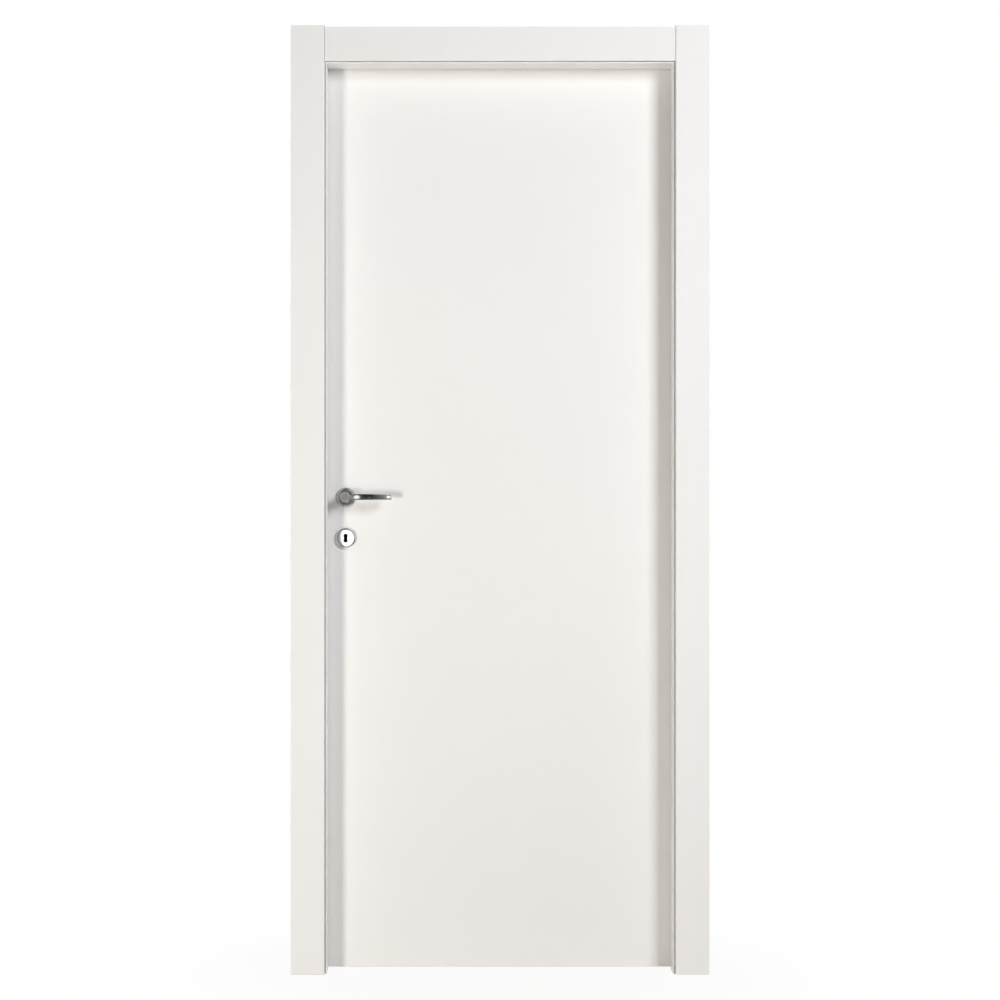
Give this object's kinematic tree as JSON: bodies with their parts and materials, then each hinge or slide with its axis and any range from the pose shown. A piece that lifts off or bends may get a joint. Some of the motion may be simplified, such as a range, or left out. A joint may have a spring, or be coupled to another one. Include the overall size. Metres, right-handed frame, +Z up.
{
  "type": "interior door set",
  "caption": "White flush interior door leaf hinged in a rebated frame with flat casings, lever handles on round roses and round key escutcheons.",
  "frame": {"origin": "on the wall face of the hinge jamb, at floor level, in the middle of the wall's thickness", "axes": "+Z up, +X out of the hinge jamb's wall face, to the right of someone on the push side, +Y through the wall towards the pull side, into which the leaf opens"},
  "size_m": [0.964, 0.165, 2.1855],
  "materials": {
    "leaf_lacquer": "satin white lacquer",
    "edge_lacquer": "satin white lacquer on timber edging",
    "frame_lacquer": "satin white lacquer",
    "casing_lacquer": "satin white lacquer",
    "raw_board": "bare fibreboard",
    "raw_timber": "bare softwood",
    "seal": "soft matt white",
    "polished_chrome": "polished",
    "hinge_steel": "satin nickel plate",
    "satin_steel": "satin nickel plate",
    "lock_steel": "zinc plate"
  },
  "bodies": {
    "frame": {"hinge_jamb": "frame_lacquer", "lock_jamb": "frame_lacquer", "head_jamb": "frame_lacquer", "hinge_stop": "frame_lacquer", "lock_stop": "frame_lacquer", "head_stop": "frame_lacquer", "push_casing_left": "casing_lacquer", "push_casing_right": "casing_lacquer", "push_casing_head": "casing_lacquer", "pull_casing_left": "casing_lacquer", "pull_casing_right": "casing_lacquer", "pull_casing_head": "casing_lacquer", "push_casing_tongues": "raw_board", "pull_casing_tongues": "raw_board", "seal_hinge_side": "seal", "seal_lock_side": "seal", "seal_head": "seal", "strike_plate": "satin_steel", "hinge_jamb_plate_bottom": "hinge_steel", "hinge_jamb_plate_middle": "hinge_steel", "hinge_jamb_plate_top": "hinge_steel", "hinge_pin_bottom": "hinge_steel", "hinge_pin_middle": "hinge_steel", "hinge_pin_top": "hinge_steel"},
    "leaf": {"push_face": "leaf_lacquer", "pull_face": "leaf_lacquer", "hinge_stile": "edge_lacquer", "lock_stile": "edge_lacquer", "lock_block": "raw_timber", "top_rail": "edge_lacquer", "bottom_rail": "edge_lacquer", "lock_case": "lock_steel", "lock_forend": "satin_steel", "latch_bolt": "satin_steel", "dead_bolt": "satin_steel", "push_rose": "polished_chrome", "pull_rose": "polished_chrome", "push_escutcheon": "polished_chrome", "pull_escutcheon": "polished_chrome", "hinge_leaf_plate_bottom": "hinge_steel", "hinge_leaf_plate_middle": "hinge_steel", "hinge_leaf_plate_top": "hinge_steel"},
    "lever_set": {"push_lever": "polished_chrome", "pull_lever": "polished_chrome", "spindle": "lock_steel"}
  },
  "joints": [
    {"name": "leaf_swing", "type": "hinge", "parent": "frame", "child": "leaf", "pos_m": [-0.0275, 0.06, 1.057], "axis": [0, 0, -1], "range_deg": [0, 170]},
    {"name": "lever_turn", "type": "hinge", "parent": "leaf", "child": "lever_set", "pos_m": [-0.79895, 0.0325, 1.1], "axis": [0, 1, 0], "range_deg": [0, 40], "stiffness_Nm_per_rad": 1.5, "springref_deg": -34.38}
  ]
}
